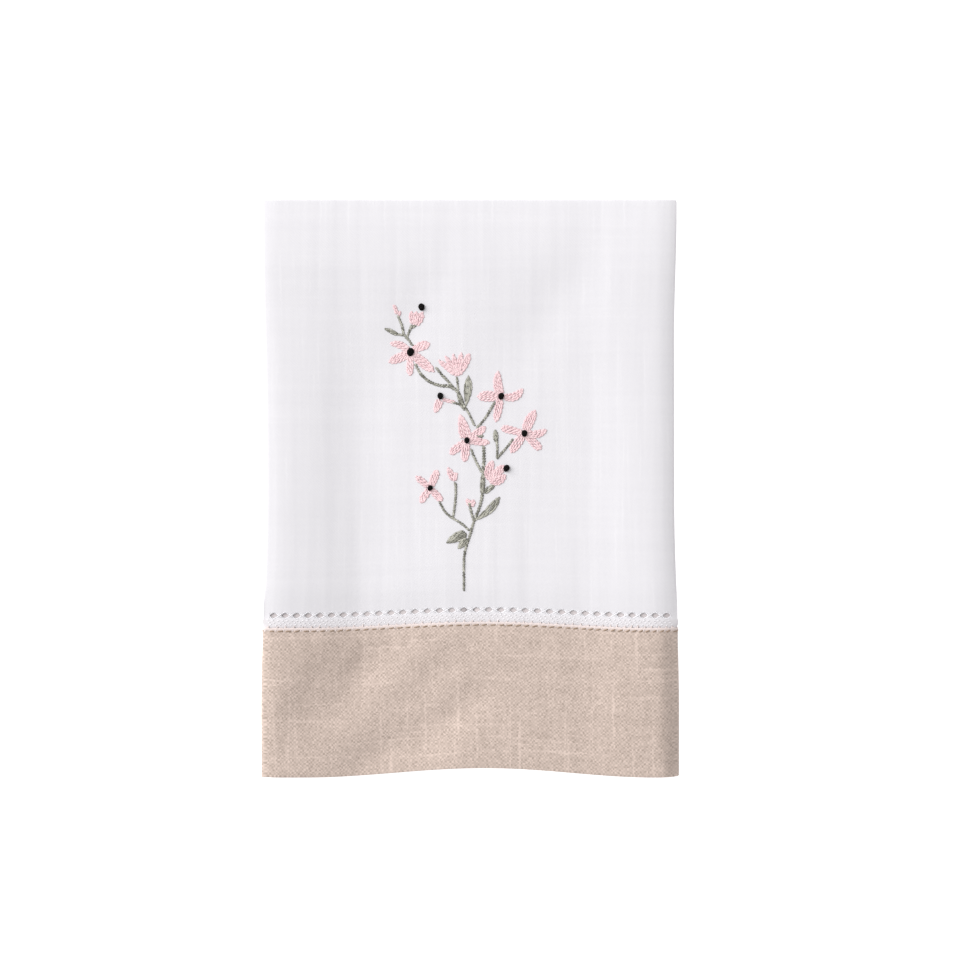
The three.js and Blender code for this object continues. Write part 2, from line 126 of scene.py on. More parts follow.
# Soft creases: x, y, direction in degrees from +X, half length, half width, height
CREASES = [
    (-50, -86, 42, 34, 11, -1.7), (-46, -76, 45, 12, 6, -0.6), (-84, -96, 80, 24, 7, 0.4),
    (-18, -86, 43, 28, 8, -0.9), (-34, -114, 30, 26, 8, -1.5), (8, -84, 50, 22, 8, 0.3),
    (-5, -100, 47, 28, 8, -1.3), (-64, -82, 58, 18, 6, -0.6), (-12, -98, 62, 36, 18, -0.8),
    (28, -80, 80, 20, 7, -0.2), (50, -108, 10, 26, 6, -0.2), (36, 80, 56, 34, 13, -0.8),
    (-24, 74, 64, 28, 11, -0.8), (-48, -50, 86, 30, 9, -0.5), (-52, 30, 92, 50, 12, -0.6),
    (26, -30, 88, 26, 5, -0.2), (40, -40, 75, 24, 6, 0.1),
]


def ease(start, end, value):
    """0 at start, 1 at end and level at both: 3t squared less 2t cubed."""
    t = np.clip((value - start) / (end - start), 0, 1)
    return t * t * (3 - 2 * t)


def bump(middle, reach, value):
    """A raised cosine: 1 at middle, 0 from middle - reach to middle + reach outwards."""
    return 0.5 + 0.5 * np.cos(np.pi * np.minimum(1, np.abs(value - middle) / reach))


def mixed(first, last, share):
    """From first to last, as share goes from 0 to 1."""
    return first + (last - first) * share


def pairs(x, y):
    """Flat points from their two coordinates."""
    return np.stack(np.broadcast_arrays(x, y), axis=-1)


def face_level(y):
    """Height of the face's middle layer: it falls from the thick band towards the top fold."""
    return mixed(FACE_AT_BAND, FACE_AT_TOP, ease(SEAM_Y, WEDGE_TOP, y))


def side_pitch(y):
    """How far the turned sides lie behind the face."""
    return mixed(SIDE_PITCH_AT_BAND, LAYER_PITCH, ease(SEAM_Y, WEDGE_TOP, y))


def relief(x, y):
    """Height of the settled face: the sum of the swells and creases, less the fall to the side folds, as the
    distance past the shoulder to the power 2.5, and to the top fold, as its square. A crease is a Gaussian
    ridge, long along its direction and narrow across it."""
    side = np.clip((np.abs(x) - FACE_WIDTH / 2 + SHOULDER["width"]) / SHOULDER["width"], 0, 1)
    head = np.clip((y - TOP_EDGE + TOP_ROLL["width"]) / TOP_ROLL["width"], 0, 1)
    raised = np.zeros(np.broadcast(x, y).shape)
    for swell_x, swell_y, reach_x, reach_y, height in SWELLS:
        raised = raised + height * bump(swell_x, reach_x, x) * bump(swell_y, reach_y, y)
    for crease_x, crease_y, degrees, half_length, half_width, height in CREASES:
        turn = np.radians(degrees)
        along = (x - crease_x) * np.cos(turn) + (y - crease_y) * np.sin(turn)
        aside = (y - crease_y) * np.cos(turn) - (x - crease_x) * np.sin(turn)
        raised = raised + height * np.exp(-((along / half_length) ** 2) - (aside / half_width) ** 2)
    on_band = ease(SEAM_Y + 1, SEAM_Y - 8, y)
    right = mixed(SHOULDER["right"], SHOULDER["right_head"], ease(50, TOP_EDGE, y))
    right = right + (SHOULDER["right_band"] - SHOULDER["right"]) * on_band
    left = mixed(SHOULDER["left"], SHOULDER["left_band"], on_band)
    fall = np.where(x < 0, left, right)
    return raised - fall * side**2.5 - TOP_ROLL["fall"] * head**2


def rise(x, y):
    """How far the middle of the towel is drawn up towards the top: most at the lower edge."""
    return RISE["height"] * bump(RISE["middle"], RISE["reach"], x) * ease(RISE["from"], RISE["to"], y)


def flared(part, y):
    """How much wider a side is at y, as a share of the width."""
    share, start, end = FLARE[part]
    return share * ease(start, end, y)


def settle(x, y, z):
    """Settles the neat fold: the sides flare at both ends, the middle is drawn up, and every layer follows
    the relief in proportion to its height."""
    widening = 1 + flared("foot", y) + np.where(x < 0, flared("head_left", y), flared("head_right", y))
    lifted = z * (1 + relief(x, y) / (face_level(y) + SOLID_PLY / 2))
    return np.stack([x * widening, y + rise(x, y), lifted], axis=-1)


def pressed_turn(angle, power):
    """A fold's sine and cosine, each to a power with its sign kept: below 1 it is more pressed than round."""
    cosine = np.cos(angle)
    return np.sin(angle) ** power, np.sign(cosine) * np.abs(cosine) ** power


def across(u, y, out, half):
    """Folds the cloth's width: u is flat and counts from the middle. Inside the fold line it is the face,
    then a pressed half turn of half the side pitch, and past that it runs back behind the face.
    Returns x and the depth behind the face. out is the distance outwards from the cloth's middle, and half
    what the cloth itself takes of the width beyond its middle."""
    radius = side_pitch(y) / 2
    fold_x = FACE_WIDTH / 2 - half - radius
    over = np.abs(u) - fold_x
    sine, cosine = pressed_turn(np.clip(over / radius, 0, np.pi), PRESSED)
    past = np.maximum(over - np.pi * radius, 0)
    x_side = fold_x + (radius + out) * sine - past
    x = np.where(over <= 0, u, np.sign(u) * x_side)
    return x, radius - (radius + out) * cosine


def lay(u, v, out):
    """Lays the white cloth: v is flat and is Y on the face, then goes round the top fold in a pressed half
    turn and down behind. Its lower edge is let in between the band's layers. Just above the band the turned
    sides lie snug under the face, so that they show white through the drawn-thread row."""
    over = v - TOP_FOLD_Y
    sine, cosine = pressed_turn(np.clip(over / TOP_RADIUS, 0, np.pi), TOP_PRESSED)
    past = np.maximum(over - TOP_TURN, 0)
    y_face = np.minimum(v, TOP_FOLD_Y)
    half = HALF_PLY + LET_IN * ease(SEAM_Y + 1.4, SEAM_Y + 0.3, y_face)
    x, depth = across(u, y_face, out, half)
    turned = ease(FACE_WIDTH / 2 - 1.7, FACE_WIDTH / 2 + 2.8, np.abs(u))
    near_row = ease(SEAM_Y, SEAM_Y + 3, y_face)
    near_row = near_row * ease(DRAWN_ROW_Y + SNUG["none"], DRAWN_ROW_Y + SNUG["full"], y_face)
    depth = depth - (side_pitch(y_face) - SNUG["depth"]) * turned * near_row
    ring = TOP_RADIUS - depth
    y_back = TOP_FOLD_Y + ring * sine - past
    z_back = LOWEST + TOP_RADIUS + ring * cosine
    y = np.where(over <= 0, v, y_back)
    z = np.where(over <= 0, face_level(y_face) - depth, z_back)
    return settle(x, y, z)


def lay_band(u, w, out):
    """Lays the border band: w is flat, 0 at the seam behind, and goes down the inner layer, round the lower
    edge in a pressed half turn and up the face."""
    sine, cosine = pressed_turn(np.clip((w - BAND_RUN) / BAND_OFFSET, 0, np.pi), PRESSED)
    up = np.maximum(w - BAND_RUN - BAND_TURN, 0)
    y_line = np.maximum(SEAM_Y - w, BAND_FOLD_Y) + up
    reach = BAND_OFFSET + out
    y = y_line - reach * sine
    x, depth = across(u, y, -reach * cosine, BAND_OFFSET + BAND_PLY / 2)
    return settle(x, y, face_level(y) - depth)


def on_face(x, y, out):
    """A point as seen on the settled face: y is taken back by the rise before it is settled.
    out counts from the middle of the cloth."""
    flat_y = y - rise(x, y)
    return settle(x, flat_y, face_level(flat_y) + out)


# The sizes and colours set in the sidebar
def sizes():
    return bpy.context.scene.towel_sizes


def colours():
    return bpy.context.scene.towel_colours


def srgb(text):
    """An sRGB hex colour as linear RGBA: a channel c is (c + 0.055) / 1.055 to the power 2.4 or c / 12.92."""
    channels = np.array([int(text[i : i + 2], 16) / 255 for i in (0, 2, 4)])
    linear = np.where(channels <= 0.04045, channels / 12.92, ((channels + 0.055) / 1.055) ** 2.4)
    return (*linear.tolist(), 1.0)


def put(name, data):
    """Puts new data into the scene as an object."""
    made = bpy.data.objects.new(name, data)
    bpy.context.scene.collection.objects.link(made)
    return made


def new_piece(name, points, faces, material, uv, shade, stands_for=None):
    """A mesh piece from points in millimetres and faces as lists of point numbers, on the towel's one body.
    uv is flat cloth in metres, a pair for each point, shade is a number for each point, and stands_for is the
    CAD node that the piece replaces."""
    mesh = bpy.data.meshes.new(name)
    mesh.from_pydata((points * MM).tolist(), [], faces)
    mesh.update()
    corners = np.empty(len(mesh.loops), dtype=np.int32)
    mesh.loops.foreach_get("vertex_index", corners)
    mesh.uv_layers.new(name="cloth").data.foreach_set("uv", uv[corners].ravel().astype(np.float32))
    mesh.attributes.new("shade", "FLOAT", "POINT").data.foreach_set("value", shade.astype(np.float32))
    mesh.polygons.foreach_set("use_smooth", np.full(len(mesh.polygons), True))
    mesh.materials.append(material)
    piece = put(name, mesh)
    if stands_for:
        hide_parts(stands_for)
    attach(piece, "root")


def cloth_sheet(outer, inner, flat, keep):
    """A sheet as two grids of points, with the faces where keep is true, and walls along every edge that
    only one face has: round the rim and round each hole. Returns points, faces and flat coordinates."""
    rows, columns = outer.shape[:2]
    number = np.arange(rows * columns).reshape(rows, columns)
    quads = np.stack([number[:-1, :-1], number[:-1, 1:], number[1:, 1:], number[1:, :-1]], axis=-1)[keep]
    edges = np.concatenate([quads[:, [i, (i + 1) % 4]] for i in range(4)])
    keys = np.sort(edges, axis=1) @ np.array([rows * columns, 1])
    _, first, count = np.unique(keys, return_index=True, return_counts=True)
    rim = edges[first[count == 1]]
    walls = np.stack([rim[:, 1], rim[:, 0], rim[:, 0] + number.size, rim[:, 1] + number.size], axis=-1)
    faces = np.concatenate([quads, quads[:, ::-1] + number.size, walls])
    used, renumbered = np.unique(faces, return_inverse=True)
    points = np.concatenate([outer.reshape(-1, 3), inner.reshape(-1, 3)])[used]
    flats = np.concatenate([flat.reshape(-1, 2)] * 2)[used]
    return points, renumbered.reshape(faces.shape).tolist(), flats


def tube_faces(count, rings, sides):
    """Faces of closed tubes whose points go round each ring and then along: all the walls, then both ends."""
    ring = np.arange(sides)
    after = np.roll(ring, -1)
    k = np.arange(rings - 1)[:, None] * sides
    walls = np.stack([k + ring, k + after, k + sides + after, k + sides + ring], axis=-1).reshape(1, -1, 4)
    first = (np.arange(count) * rings * sides)[:, None]
    ends = [ring[::-1] + first, ring + (rings - 1) * sides + first]
    return (walls + first[..., None]).reshape(-1, 4).tolist() + ends[0].tolist() + ends[1].tolist()


def stitched(name, starts, ends, width, height, place, seed, thread, sides=6, rings=7, faintest=0.72,
             stands_for=None):
    """A piece made of stitches, closed spindles that run straight from start to end in flat coordinates.
    Their thickness goes as the fourth root of 1 - s to the fourth, with s from -1 to 1, and they dip at both
    ends by the square of s. The shade is 1 along the crown and falls to the sides and ends, a painted shade
    that darkens each stitch's colour there, and each stitch has a tone of its own, down to faintest. place
    turns flat coordinates and a height into points."""
    count = len(starts)
    tip, dip, fade = 0.985, 0.45, 0.55
    s = np.linspace(-tip, tip, rings)[None, :, None]
    turn = np.linspace(0, 2 * np.pi, sides, endpoint=False)[None, None, :] + np.pi / 2
    run = ends - starts
    length = np.linalg.norm(run, axis=1)
    aside = pairs(-run[:, 1], run[:, 0]) / length[:, None]
    girth = (1 - s**4) ** 0.25
    swing = 0.5 * np.broadcast_to(width, count)[:, None, None] * girth * np.cos(turn)
    up = 0.5 * np.broadcast_to(height, count)[:, None, None] * (girth * np.sin(turn) + 1 - dip * s**2)
    along = (s + 1) / 2 + 0 * turn
    u, v = (starts[:, i, None, None] + run[:, i, None, None] * along + aside[:, i, None, None] * swing
            for i in (0, 1))
    points = place(u, v, up).reshape(-1, 3)
    flat = pairs(turn / (2 * np.pi) + 0 * u, length[:, None, None] * along * MM)
    # Painted shade: the colour is palest on the crown and deeper towards the sides and ends
    crown = np.clip(np.sin(turn), 0, 1) ** 0.8 * (1 - fade * s**4)
    own = np.random.default_rng(seed).uniform(faintest, 1.0, count)[:, None, None]
    new_piece(name, points, tube_faces(count, rings, sides), thread, flat.reshape(-1, 2),
              (crown * own).reshape(-1), stands_for)


def arc_lengths(line):
    """How far each point of a line lies from its start, along it."""
    return np.concatenate([[0], np.cumsum(np.linalg.norm(np.diff(line, axis=0), axis=1))])


def points_at(line, distance):
    """Points of a line at the given distances along it."""
    gone = arc_lengths(line)
    return pairs(*(np.interp(distance, gone, line[:, k]) for k in (0, 1)))


def smooth_curve(points):
    """A smooth line through points: cubic Hermite pieces over chord length, with central-difference slopes.
    It runs on straight by tuck at its end, under whatever it meets. Returns count points, evenly spaced."""
    tuck, count = 0.7, 80
    knots = np.array(points, dtype=float)
    last = knots[-1] - knots[-2]
    knots = np.concatenate([knots, [knots[-1] + tuck * last / np.linalg.norm(last)]])
    chord = arc_lengths(knots)
    slope = np.gradient(knots, chord, axis=0)
    t = np.linspace(0, chord[-1], 8 * count)
    i = np.clip(np.searchsorted(chord, t, side="right") - 1, 0, len(knots) - 2)
    span = (chord[i + 1] - chord[i])[:, None]
    f = (t - chord[i])[:, None] / span
    line = (
        knots[i] * (2 * f**3 - 3 * f**2 + 1)
        + slope[i] * span * (f**3 - 2 * f**2 + f)
        + knots[i + 1] * (3 * f**2 - 2 * f**3)
        + slope[i + 1] * span * (f**3 - f**2)
    )
    return points_at(line, np.linspace(0, arc_lengths(line)[-1], count))


def beside(line, distance, aside):
    """Points on a line at the given distances along it, moved aside to its left."""
    heading = points_at(line, distance + 0.2) - points_at(line, distance - 0.2)
    heading = heading / np.linalg.norm(heading, axis=1)[:, None]
    return points_at(line, distance) + aside[:, None] * pairs(-heading[:, 1], heading[:, 0])


def stitch_row(line, pitch, overlap, slant, draw, phase):
    """Starts and ends of one row of stitches along a line. A stitch begins at every pitch, is overlap times
    as long, and crosses the line from slant on its right to slant on its left. slant is a number, or a pair
    for both ends of the line. phase moves the row back by a share of a stitch."""
    whole = arc_lengths(line)[-1]
    count = max(1, int(round(whole / pitch)))
    step = whole / count
    begin = (np.arange(count + (phase > 0)) - phase) * step
    finish = np.clip(begin + overlap * step + draw.uniform(-0.12, 0.12, len(begin)) * step, 0, whole)
    begin = np.clip(begin + draw.uniform(-0.1, 0.1, len(begin)) * step, 0, whole)
    kept = finish - begin > 0.35 * step
    begin, finish = begin[kept], finish[kept]
    low, high = np.broadcast_to(slant, 2)
    uneven = draw.uniform(0.75, 1.25, len(begin))
    right = -(low + (high - low) * begin / whole) * uneven
    left = (low + (high - low) * finish / whole) * uneven
    return beside(line, begin, right), beside(line, finish, left)


# The sprig, in millimetres from the foot of its main stem, as seen on the face
SPRIG_FOOT = np.array([-3.0, -44.2])
# Stems: for each branch the width of its rope at both ends, and the points that it runs through
STEMS = {
    "stem_main": [
        ((1.5, 2.2), [
            (0.1, -0.2), (0.2, 5), (0.1, 10.2), (0.7, 17.6), (2.1, 21.9), (3.2, 25.8), (4.7, 30.6),
            (6.6, 35.3), (7.9, 40.3), (8.4, 45.3), (8.4, 51.3), (8.8, 56.5), (8.7, 61.9),
        ]),
        ((1.6, 1.5), [(2.6, 25.9), (-1.5, 29.5), (-4.8, 31.4), (-8.1, 34.2), (-10.1, 37.8)]),
        ((1.5, 1.8), [(-4.6, 31.3), (-3.9, 36.2), (-3.4, 41.4), (-3.5, 46.2)]),
        ((1.6, 2.2), [(4.3, 30.1), (3.5, 33.4), (3, 35.1), (2.6, 37.3)]),
        ((1.8, 1.6), [(8.3, 50.5), (6, 54.6), (4.5, 57.8), (3.5, 60.7)]),
    ],
    "stem_upper": [
        ((1.5, 1.8), [
            (4.8, 71.1), (2.6, 76), (0.7, 79.3), (-0.7, 81.5), (-2.4, 85.6), (-3.9, 87.3), (-6.7, 90.6),
            (-10.2, 94.4), (-11.5, 96.2),
        ]),
        ((2.1, 1.7), [
            (-3.7, 87.1), (-6.1, 88.4), (-9.8, 88.7), (-13.7, 89.9), (-17.1, 92.3), (-19.4, 95.2),
            (-20.4, 97.4),
        ]),
        ((1.6, 1.5), [(-1, 82.3), (-2.2, 86), (-2.6, 89.5), (-2.8, 91.8)]),
        ((1.8, 1.2), [(0.7, 79.3), (-1.3, 80.5), (-3.5, 81.1), (-4.8, 81.6)]),
    ],
    "stem_right": [
        ((1.5, 1.6), [(14.3, 57), (14.6, 60.4), (14.3, 64.8), (14, 67.2), (13.8, 69)]),
        ((1.7, 1.5), [(14.3, 57.2), (16.9, 60), (18.8, 62.2), (20.9, 65)]),
    ],
    "stem_blossom": [((1.4, 1.8), [(5.4, 70.3), (7.1, 71.9), (9.7, 75.2), (12.4, 79.7), (13.3, 81.1)])],
    "stem_tip": [
        ((1.8, 1.7), [(-21.8, 105.8), (-23.4, 108.4), (-25.4, 110.5), (-26.2, 114.2), (-27.8, 118.5)]),
        ((1.5, 1.4), [(-25.4, 110.5), (-28.4, 111), (-31.2, 112.2), (-33, 113.1)]),
        ((1.4, 1.6), [(-24.3, 109.4), (-23.4, 111.8), (-22.4, 114.3)]),
    ],
}
# Where a stem swells to a spindle or a calyx: from, to and width
SPINDLES = {
    "stem_main": [((7.9, 41), (8.5, 51.5), 2.2)],
    "stem_upper": [((0.2, 77.8), (-2.6, 86.6), 2.2)],
    "stem_right": [((14.1, 63.6), (13.7, 69.6), 2.3)],
    "stem_tip": [((-27.6, 110.5), (-33.5, 113.5), 1.9), ((-22.8, 113.7), (-20.2, 115), 1.5)],
}
# Leaves: name, stalk, tip, width, bow to the left, where it is broadest and how broad its foot is, as shares
LEAVES = [
    ("leaf_foot_low", (1.8, 24.7), (-7.6, 20.6), 4.6, -0.5, 0.4, 0.75),
    ("leaf_foot_near", (1.9, 22.6), (-2.6, 18.1), 3.4, 0, 0.4, 0.8),
    ("leaf_foot_right", (4, 30), (16, 41), 3.6, -1.2, 0.62, 0),
    ("leaf_bud_right", (8.4, 42), (13.9, 46.3), 2.6, 0, 0.5, 0.5),
    ("leaf_middle", (5.4, 67), (8.7, 66.8), 2.2, 0, 0.75, 0),
    ("leaf_upper", (0.9, 79.4), (2.2, 93.2), 3.9, -0.3, 0.6, 0),
]
# Blossoms and buds: name, middle, and each petal's direction in degrees (0 to the right, 90 up the towel),
# reach, width, bow to the left and the share of its reach at which it is broadest
BLOSSOMS = [
    ("blossom_low", (-14.5, 44.4), [
        (67, 8.7, 3.6, 0, 0.6), (-47, 8, 3.3, 0, 0.6), (-124, 7.8, 3.4, 0, 0.6), (140, 8.1, 3, 0, 0.65),
    ]),
    ("blossom_middle", (1.4, 65), [
        (104, 11.8, 5.2, 0, 0.3), (35, 10.4, 3.5, 0, 0.6), (-6, 10.2, 3.3, 0, 0.55), (-97, 9.6, 3.9, 0, 0.6),
        (-142, 9.7, 3.7, 0, 0.65),
    ]),
    ("blossom_right", (26.3, 68), [
        (64, 11.3, 4.5, 0.4, 0.55), (9, 10.2, 3.5, -1.2, 0.5), (-44, 10.4, 3.7, 0, 0.7),
        (-126, 10.5, 4, 0, 0.6), (166, 10.8, 3.5, 0, 0.7),
    ]),
    ("blossom_high", (16.2, 84.1), [
        (96, 11.1, 4.1, 0.9, 0.45), (19, 10.5, 3.8, -2.1, 0.55), (-102, 11.7, 3.6, 0, 0.55),
        (-180, 10.4, 4.7, 0, 0.6),
    ]),
    ("blossom_top", (-22.8, 103.2), [
        (156, 9.8, 3.3, -1.1, 0.5), (23, 9.3, 4.1, 0.6, 0.7), (-40, 13.3, 4.4, 0, 0.55),
        (-92, 10.5, 3.3, 0, 0.65), (-156, 10.4, 4.2, 0.3, 0.55),
    ]),
    ("bud_low", (-4, 47.2), [(114, 6.7, 2.9, 0, 0.5), (77, 4.3, 1.9, 0, 0.6)]),
    ("bud_stem", (3.1, 36.4), [(116, 3.8, 2.4, 0, 0.5), (58, 3.3, 2.4, 0, 0.5)]),
    ("bud_right", (10.6, 47.3), [(76, 9.4, 4, 0.8, 0.5), (44, 9.9, 4.1, 0, 0.6), (20, 8.5, 3.9, -1.3, 0.5)]),
    ("bud_fan", (-2.8, 92.7), [
        (138, 10.8, 2.3, 0, 0.6), (119, 10.3, 2.3, 0, 0.6), (99, 9.9, 2.3, 0, 0.6), (79, 10.6, 2.6, 0, 0.6),
        (61, 11.6, 3.3, -0.3, 0.65),
    ]),
    ("bud_left", (-9.9, 83), [(-113, 6.6, 3.6, 0, 0.4), (-14, 7, 1.6, 0, 0.4)]),
    ("bud_tip", (-21, 114.6), [(100, 6.5, 2.8, 0.4, 0.55), (80, 6.4, 2.8, 0, 0.6), (59, 7.1, 3, -0.6, 0.55)]),
    ("bud_spike", (-28.1, 119.1), [(108, 5.4, 1.8, 0, 0.4), (48, 2.4, 1.6, 0, 0.4)]),
]
# Knots: how each is wound, and for each its name, place, width, tilt of the longer way in degrees and lift
KNOT = {"thread": 0.85, "turns": 3.2, "sides": 8, "steps": 72, "stretch": 1.2}
KNOTS = [
    ("knot_low", (-14.5, 44.4), 2.3, 25, 0.1),
    ("knot_middle", (1.4, 65), 2.5, 0, 0.1),
    ("knot_right", (26.3, 68), 2.7, 0, 0.1),
    ("knot_high", (16.2, 84.1), 2.7, 12, 0.1),
    ("knot_top", (-22.8, 103.2), 3.3, 15, 0.1),
    ("knot_bud_right", (18.5, 52.9), 2.8, 25, 0.1),
    ("knot_bud_left", (-10, 84.2), 2.7, -15, 0.05),
    ("knot_bud_tip", (-17.9, 122.7), 2.9, -20, 0),
]


def node(tree, kind, inputs=None, output=0, **settings):
    """Adds a node, sets its properties, fills or links its inputs, and returns one of its outputs, if any."""
    made = tree.nodes.new(kind)
    for key, value in settings.items():
        setattr(made, key, value)
    for key, value in (inputs or {}).items():
        if isinstance(value, bpy.types.NodeSocket):
            tree.links.new(value, made.inputs[key])
        else:
            made.inputs[key].default_value = value
    return made.outputs[output] if made.outputs else None


def new_material(name):
    """A node material with nothing in it yet; returns it and its tree."""
    material = bpy.data.materials.new(name)
    material.use_nodes = True
    tree = material.node_tree
    tree.nodes.clear()
    return material, tree


def linen(name, light, dark, pitch, depth, weave, grain, cloudy, slubby, crosswise, edge):
    """Plain-woven linen, read from the cloth's own flat coordinates. Threads lie pitch apart and cross like a
    chequer: the sine of one way times the sine of the other. weave, grain, cloudy and slubby say how much of
    the tone comes from that chequer, from single crossings, from bands of thicker and thinner thread and from
    slubs; crosswise is what share of the last two the weft has. depth is the relief of a thread, and edge the
    tone that the shade attribute mixes in."""
    material, tree = new_material(name)
    flat = node(tree, "ShaderNodeUVMap", uv_map="cloth")
    # Threads wander a little, within about 2 mm
    wander = node(tree, "ShaderNodeTexNoise", {"Vector": flat, "Scale": 420.0, "Detail": 3.0}, output=1)
    wander = node(tree, "ShaderNodeVectorMath", {0: wander, "Scale": pitch * 2.6}, operation="SCALE")
    bent = node(tree, "ShaderNodeVectorMath", {0: flat, 1: wander}, operation="ADD")
    threads = node(tree, "ShaderNodeVectorMath", {0: bent, "Scale": 1 / pitch}, operation="SCALE")
    halves = node(tree, "ShaderNodeVectorMath", {0: threads, "Scale": float(np.pi)}, operation="SCALE")
    waves = node(tree, "ShaderNodeVectorMath", {0: halves}, operation="SINE")
    split = node(tree, "ShaderNodeSeparateXYZ", {0: waves}).node
    check = node(tree, "ShaderNodeMath", {0: split.outputs[0], 1: split.outputs[1]}, operation="MULTIPLY")
    cell = node(tree, "ShaderNodeVectorMath", {0: threads}, operation="FLOOR")
    speck = node(tree, "ShaderNodeTexWhiteNoise", {"Vector": cell}, noise_dimensions="2D")
    tone = node(tree, "ShaderNodeMath", {0: check, 1: weave, 2: 0.5 - 0.5 * grain}, operation="MULTIPLY_ADD")
    tone = node(tree, "ShaderNodeMath", {0: speck, 1: grain, 2: tone}, operation="MULTIPLY_ADD")
    slubs = []
    for warp, weft, share in ((0.5, 0.016, 1.0), (0.016, 0.5, crosswise)):
        # Bands of thicker and thinner thread, a few threads wide
        drawn = node(tree, "ShaderNodeVectorMath", {0: threads, 1: (0.25 * warp, 0.25 * weft, 0.0)},
                     operation="MULTIPLY")
        band = node(tree, "ShaderNodeTexNoise", {0: drawn, "Scale": 1.0, "Detail": 2.0, "Roughness": 0.6})
        cloud = cloudy * share
        band = node(tree, "ShaderNodeMapRange", {0: band, 1: 0.2, 2: 0.8, 3: -cloud, 4: cloud})
        tone = node(tree, "ShaderNodeMath", {0: tone, 1: band}, operation="ADD")
        # Slubs: here and there one thread is thicker, and paler, for a few millimetres
        drawn = node(tree, "ShaderNodeVectorMath", {0: threads, 1: (warp, weft, 0.0)}, operation="MULTIPLY")
        slub = node(tree, "ShaderNodeTexNoise", {0: drawn, "Scale": 1.0, "Detail": 1.0, "Roughness": 0.5})
        slub = node(tree, "ShaderNodeMapRange", {0: slub, 1: 0.62, 2: 0.74, 3: 0.0, 4: slubby * share})
        tone = node(tree, "ShaderNodeMath", {0: tone, 1: slub}, operation="ADD")
        slubs.append(slub)
    tone = node(tree, "ShaderNodeMath", {0: tone, 1: 0.0}, operation="ADD", use_clamp=True)
    colour = node(tree, "ShaderNodeMix", {0: tone, 6: srgb(dark), 7: srgb(light)}, output=2, data_type="RGBA")
    shade = node(tree, "ShaderNodeAttribute", output=2, attribute_name="shade")
    colour = node(tree, "ShaderNodeMix", {0: shade, 6: colour, 7: srgb(edge)}, output=2, data_type="RGBA")
    height = node(tree, "ShaderNodeMath", {0: slubs[0], 1: slubs[1]}, operation="ADD")
    height = node(tree, "ShaderNodeMath", {0: check, 1: 0.5, 2: height}, operation="MULTIPLY_ADD")
    normal = node(tree, "ShaderNodeBump", {"Strength": 0.6, "Distance": depth, "Height": height})
    surface = node(tree, "ShaderNodeBsdfPrincipled", {
        "Base Color": colour, "Normal": normal, "Roughness": 0.92, "Specular IOR Level": 0.2,
        "Sheen Weight": 0.1, "Sheen Roughness": 0.6,
    })
    node(tree, "ShaderNodeOutputMaterial", {"Surface": surface})
    return material


def floss(name, light, dark, roughness=0.7, gloss=0.35):
    """Spun and mercerised thread: fine strands wind round each stitch, whose colour is painted palest along
    its crown and deeper at its sides and ends, a painted shade."""
    material, tree = new_material(name)
    flat = node(tree, "ShaderNodeUVMap", uv_map="cloth")
    split = node(tree, "ShaderNodeSeparateXYZ", {0: flat}).node
    strands, twist = 5.0, 900.0  # strands that show round a stitch, and their turns in a metre
    wound = node(tree, "ShaderNodeMath", {0: split.outputs[1], 1: twist}, operation="MULTIPLY")
    phase = node(tree, "ShaderNodeMath", {0: split.outputs[0], 1: strands, 2: wound},
                 operation="MULTIPLY_ADD")
    turned = node(tree, "ShaderNodeMath", {0: phase, 1: 2 * float(np.pi)}, operation="MULTIPLY")
    strand = node(tree, "ShaderNodeMath", {0: turned}, operation="SINE")
    shade = node(tree, "ShaderNodeAttribute", output=2, attribute_name="shade")
    tone = node(tree, "ShaderNodeMath", {0: strand, 1: 0.06, 2: shade}, operation="MULTIPLY_ADD",
                use_clamp=True)
    colour = node(tree, "ShaderNodeMix", {0: tone, 6: srgb(dark), 7: srgb(light)}, output=2, data_type="RGBA")
    normal = node(tree, "ShaderNodeBump", {"Strength": 0.4, "Distance": 0.00004, "Height": strand})
    surface = node(tree, "ShaderNodeBsdfPrincipled", {
        "Base Color": colour, "Normal": normal, "Roughness": roughness, "Specular IOR Level": gloss,
    })
    node(tree, "ShaderNodeOutputMaterial", {"Surface": surface})
    return material


class TowelSizes(bpy.types.PropertyGroup):
    ply: bpy.props.FloatProperty(
        name="Ply", description="Thickness of one layer of white linen", default=0.0005, unit="LENGTH")
    hole_width: bpy.props.FloatProperty(
        name="Hole Width", description="Width of a hole in the drawn row", default=0.0031, unit="LENGTH")
    hole_height: bpy.props.FloatProperty(
        name="Hole Height", description="Height of a hole in the drawn row", default=0.0022, unit="LENGTH")
    holes: bpy.props.IntProperty(name="Holes", description="Holes across the drawn row", default=34)
    floss_width: bpy.props.FloatProperty(
        name="Floss Width", description="Width of one stitch of floss", default=0.0009, unit="LENGTH")


class TowelColours(bpy.types.PropertyGroup):
    white: bpy.props.StringProperty(
        name="White Linen", description="Bleached linen, sRGB hex", default="D9D7DA")
    natural: bpy.props.StringProperty(
        name="Natural Linen", description="Unbleached linen, sRGB hex", default="CBB9AF")
    sage: bpy.props.StringProperty(
        name="Sage Floss", description="Stems and leaves, sRGB hex", default="C2C0B4")
    pink: bpy.props.StringProperty(name="Pink Floss", description="Petals, sRGB hex", default="E8CED0")
    black: bpy.props.StringProperty(name="Black Floss", description="Knots, sRGB hex", default="0C0A09")
    floor: bpy.props.StringProperty(name="Floor", description="Floor, sRGB hex", default="FCFCFC")


def hole_places():
    """Middles of the holes in the drawn-thread row. With t evenly from 0 to 1 they lie at t less crowding
    times the sine of 2 pi t over 2 pi, so they are a little closer towards both sides."""
    t = np.linspace(0, 1, sizes().holes)
    crowded = t - HOLE_ROW["crowding"] * np.sin(2 * np.pi * t) / (2 * np.pi)
    return HOLE_ROW["first"] + HOLE_ROW["span"] * crowded


